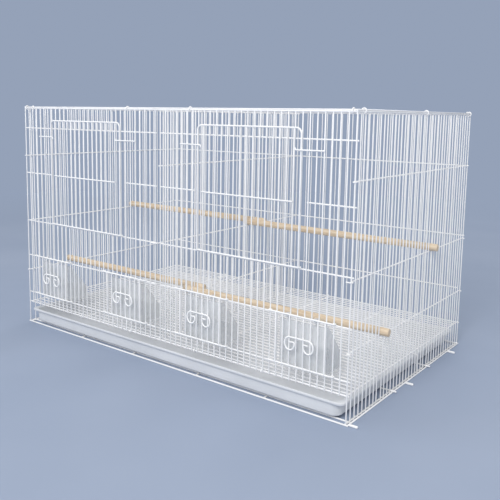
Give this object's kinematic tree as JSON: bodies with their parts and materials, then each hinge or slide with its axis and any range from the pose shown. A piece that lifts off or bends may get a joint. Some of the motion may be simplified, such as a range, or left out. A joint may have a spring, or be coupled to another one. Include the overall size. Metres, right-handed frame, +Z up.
{
  "type": "bird breeding cage",
  "caption": "Welded-wire breeding cage for small birds, with a divider, lifting doors, feeder doors with clear cups, round perches, a floor grate and a pull-out tray.",
  "frame": {"origin": "centre of the bounding box's bottom face, on the ground under the cage", "axes": "+X to the cage's right, -Y out of its front with the doors and tray, +Z up"},
  "size_m": [0.7896, 0.4684, 0.4595],
  "materials": {
    "wire": "semi-gloss white powder coat",
    "tray": "satin moulded plastic",
    "cup": "clear moulded plastic",
    "perch": "smooth unfinished pale wood"
  },
  "bodies": {
    "cage": {"front_panel": "wire", "back_panel": "wire", "left_panel": "wire", "right_panel": "wire", "top_panel": "wire", "top_rings": "wire", "door_guides": "wire", "divider": "wire", "floor_grate": "wire", "base_frame": "wire", "tray_supports": "wire", "side_pegs": "wire"},
    "tray": {"tray": "tray"},
    "large_door_left": {"large_door_left": "wire"},
    "large_door_right": {"large_door_right": "wire"},
    "feeder_door_1": {"feeder_door_1": "wire", "feeder_handle_1": "wire"},
    "feeder_door_2": {"feeder_door_2": "wire", "feeder_handle_2": "wire"},
    "feeder_door_3": {"feeder_door_3": "wire", "feeder_handle_3": "wire"},
    "feeder_door_4": {"feeder_door_4": "wire", "feeder_handle_4": "wire"},
    "seed_cup_1": {"seed_cup_1": "cup"},
    "seed_cup_2": {"seed_cup_2": "cup"},
    "seed_cup_3": {"seed_cup_3": "cup"},
    "seed_cup_4": {"seed_cup_4": "cup"},
    "perch_upper_left": {"perch_upper_left": "perch"},
    "perch_upper_right": {"perch_upper_right": "perch"},
    "perch_lower_left": {"perch_lower_left": "perch"},
    "perch_lower_right": {"perch_lower_right": "perch"}
  },
  "joints": [
    {"name": "tray_slide", "type": "slide", "parent": "cage", "child": "tray", "axis": [0, -1, 0], "range_m": [0, 0.4]},
    {"name": "large_door_left_lift", "type": "slide", "parent": "cage", "child": "large_door_left", "axis": [0, 0, 1], "range_m": [0, 0.17]},
    {"name": "large_door_right_lift", "type": "slide", "parent": "cage", "child": "large_door_right", "axis": [0, 0, 1], "range_m": [0, 0.17]},
    {"name": "feeder_door_1_lift", "type": "slide", "parent": "cage", "child": "feeder_door_1", "axis": [0, 0, 1], "range_m": [0, 0.066]},
    {"name": "feeder_door_2_lift", "type": "slide", "parent": "cage", "child": "feeder_door_2", "axis": [0, 0, 1], "range_m": [0, 0.066]},
    {"name": "feeder_door_3_lift", "type": "slide", "parent": "cage", "child": "feeder_door_3", "axis": [0, 0, 1], "range_m": [0, 0.066]},
    {"name": "feeder_door_4_lift", "type": "slide", "parent": "cage", "child": "feeder_door_4", "axis": [0, 0, 1], "range_m": [0, 0.066]},
    {"name": "seed_cup_1_unhook", "type": "slide", "parent": "cage", "child": "seed_cup_1", "axis": [0, 0, 1], "range_m": [0, 0.04]},
    {"name": "seed_cup_2_unhook", "type": "slide", "parent": "cage", "child": "seed_cup_2", "axis": [0, 0, 1], "range_m": [0, 0.04]},
    {"name": "seed_cup_3_unhook", "type": "slide", "parent": "cage", "child": "seed_cup_3", "axis": [0, 0, 1], "range_m": [0, 0.04]},
    {"name": "seed_cup_4_unhook", "type": "slide", "parent": "cage", "child": "seed_cup_4", "axis": [0, 0, 1], "range_m": [0, 0.04]},
    {"name": "perch_upper_left_draw", "type": "slide", "parent": "cage", "child": "perch_upper_left", "axis": [-1, 0, 0], "range_m": [0, 0.37]},
    {"name": "perch_upper_right_draw", "type": "slide", "parent": "cage", "child": "perch_upper_right", "axis": [0.9978, 0.0651, -0.0161], "range_m": [0, 0.37]},
    {"name": "perch_lower_left_draw", "type": "slide", "parent": "cage", "child": "perch_lower_left", "axis": [-1, 0, 0], "range_m": [0, 0.37]},
    {"name": "perch_lower_right_draw", "type": "slide", "parent": "cage", "child": "perch_lower_right", "axis": [0.9978, 0.0651, -0.0161], "range_m": [0, 0.37]}
  ]
}
